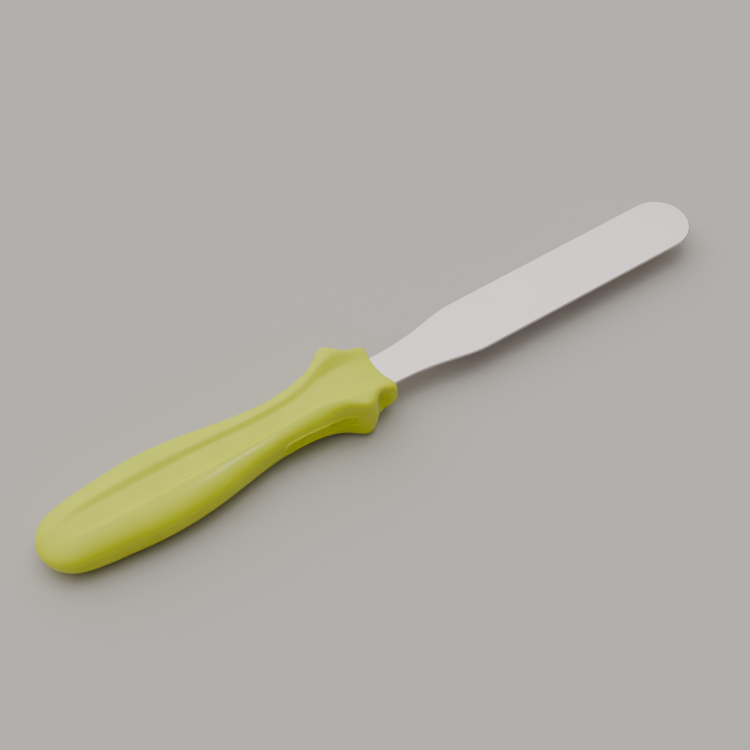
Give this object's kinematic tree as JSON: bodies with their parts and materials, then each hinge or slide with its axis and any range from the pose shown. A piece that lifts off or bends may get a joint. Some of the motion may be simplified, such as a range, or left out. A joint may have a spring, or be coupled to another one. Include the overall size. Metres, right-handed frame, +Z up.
{
  "type": "flexible spatula knife",
  "caption": "Straight, round-tipped flexible steel blade moulded into a contoured plastic handle with a thumb hollow, finger grooves and a flared finger guard.",
  "frame": {"origin": "on the surface that the handle lies on, under the middle of the overall length and width", "axes": "+X along the tool towards the blade's tip, +Z up from the surface, out of the blade's upper face"},
  "size_m": [0.2168, 0.026, 0.0147],
  "materials": {
    "handle_plastic": "glossy yellow-green moulded plastic",
    "blade_steel": "satin, finely ground along the blade, bright polished edges"
  },
  "bodies": {
    "handle_body": {"handle": "handle_plastic", "tang": "blade_steel"},
    "blade_body": {"blade": "blade_steel"}
  },
  "joints": [
    {"name": "blade_flex", "type": "hinge", "parent": "handle_body", "child": "blade_body", "pos_m": [0.00205, 0, 0.00745], "axis": [0, -1, 0], "range_deg": [-15, 15], "stiffness_Nm_per_rad": 3.6}
  ]
}
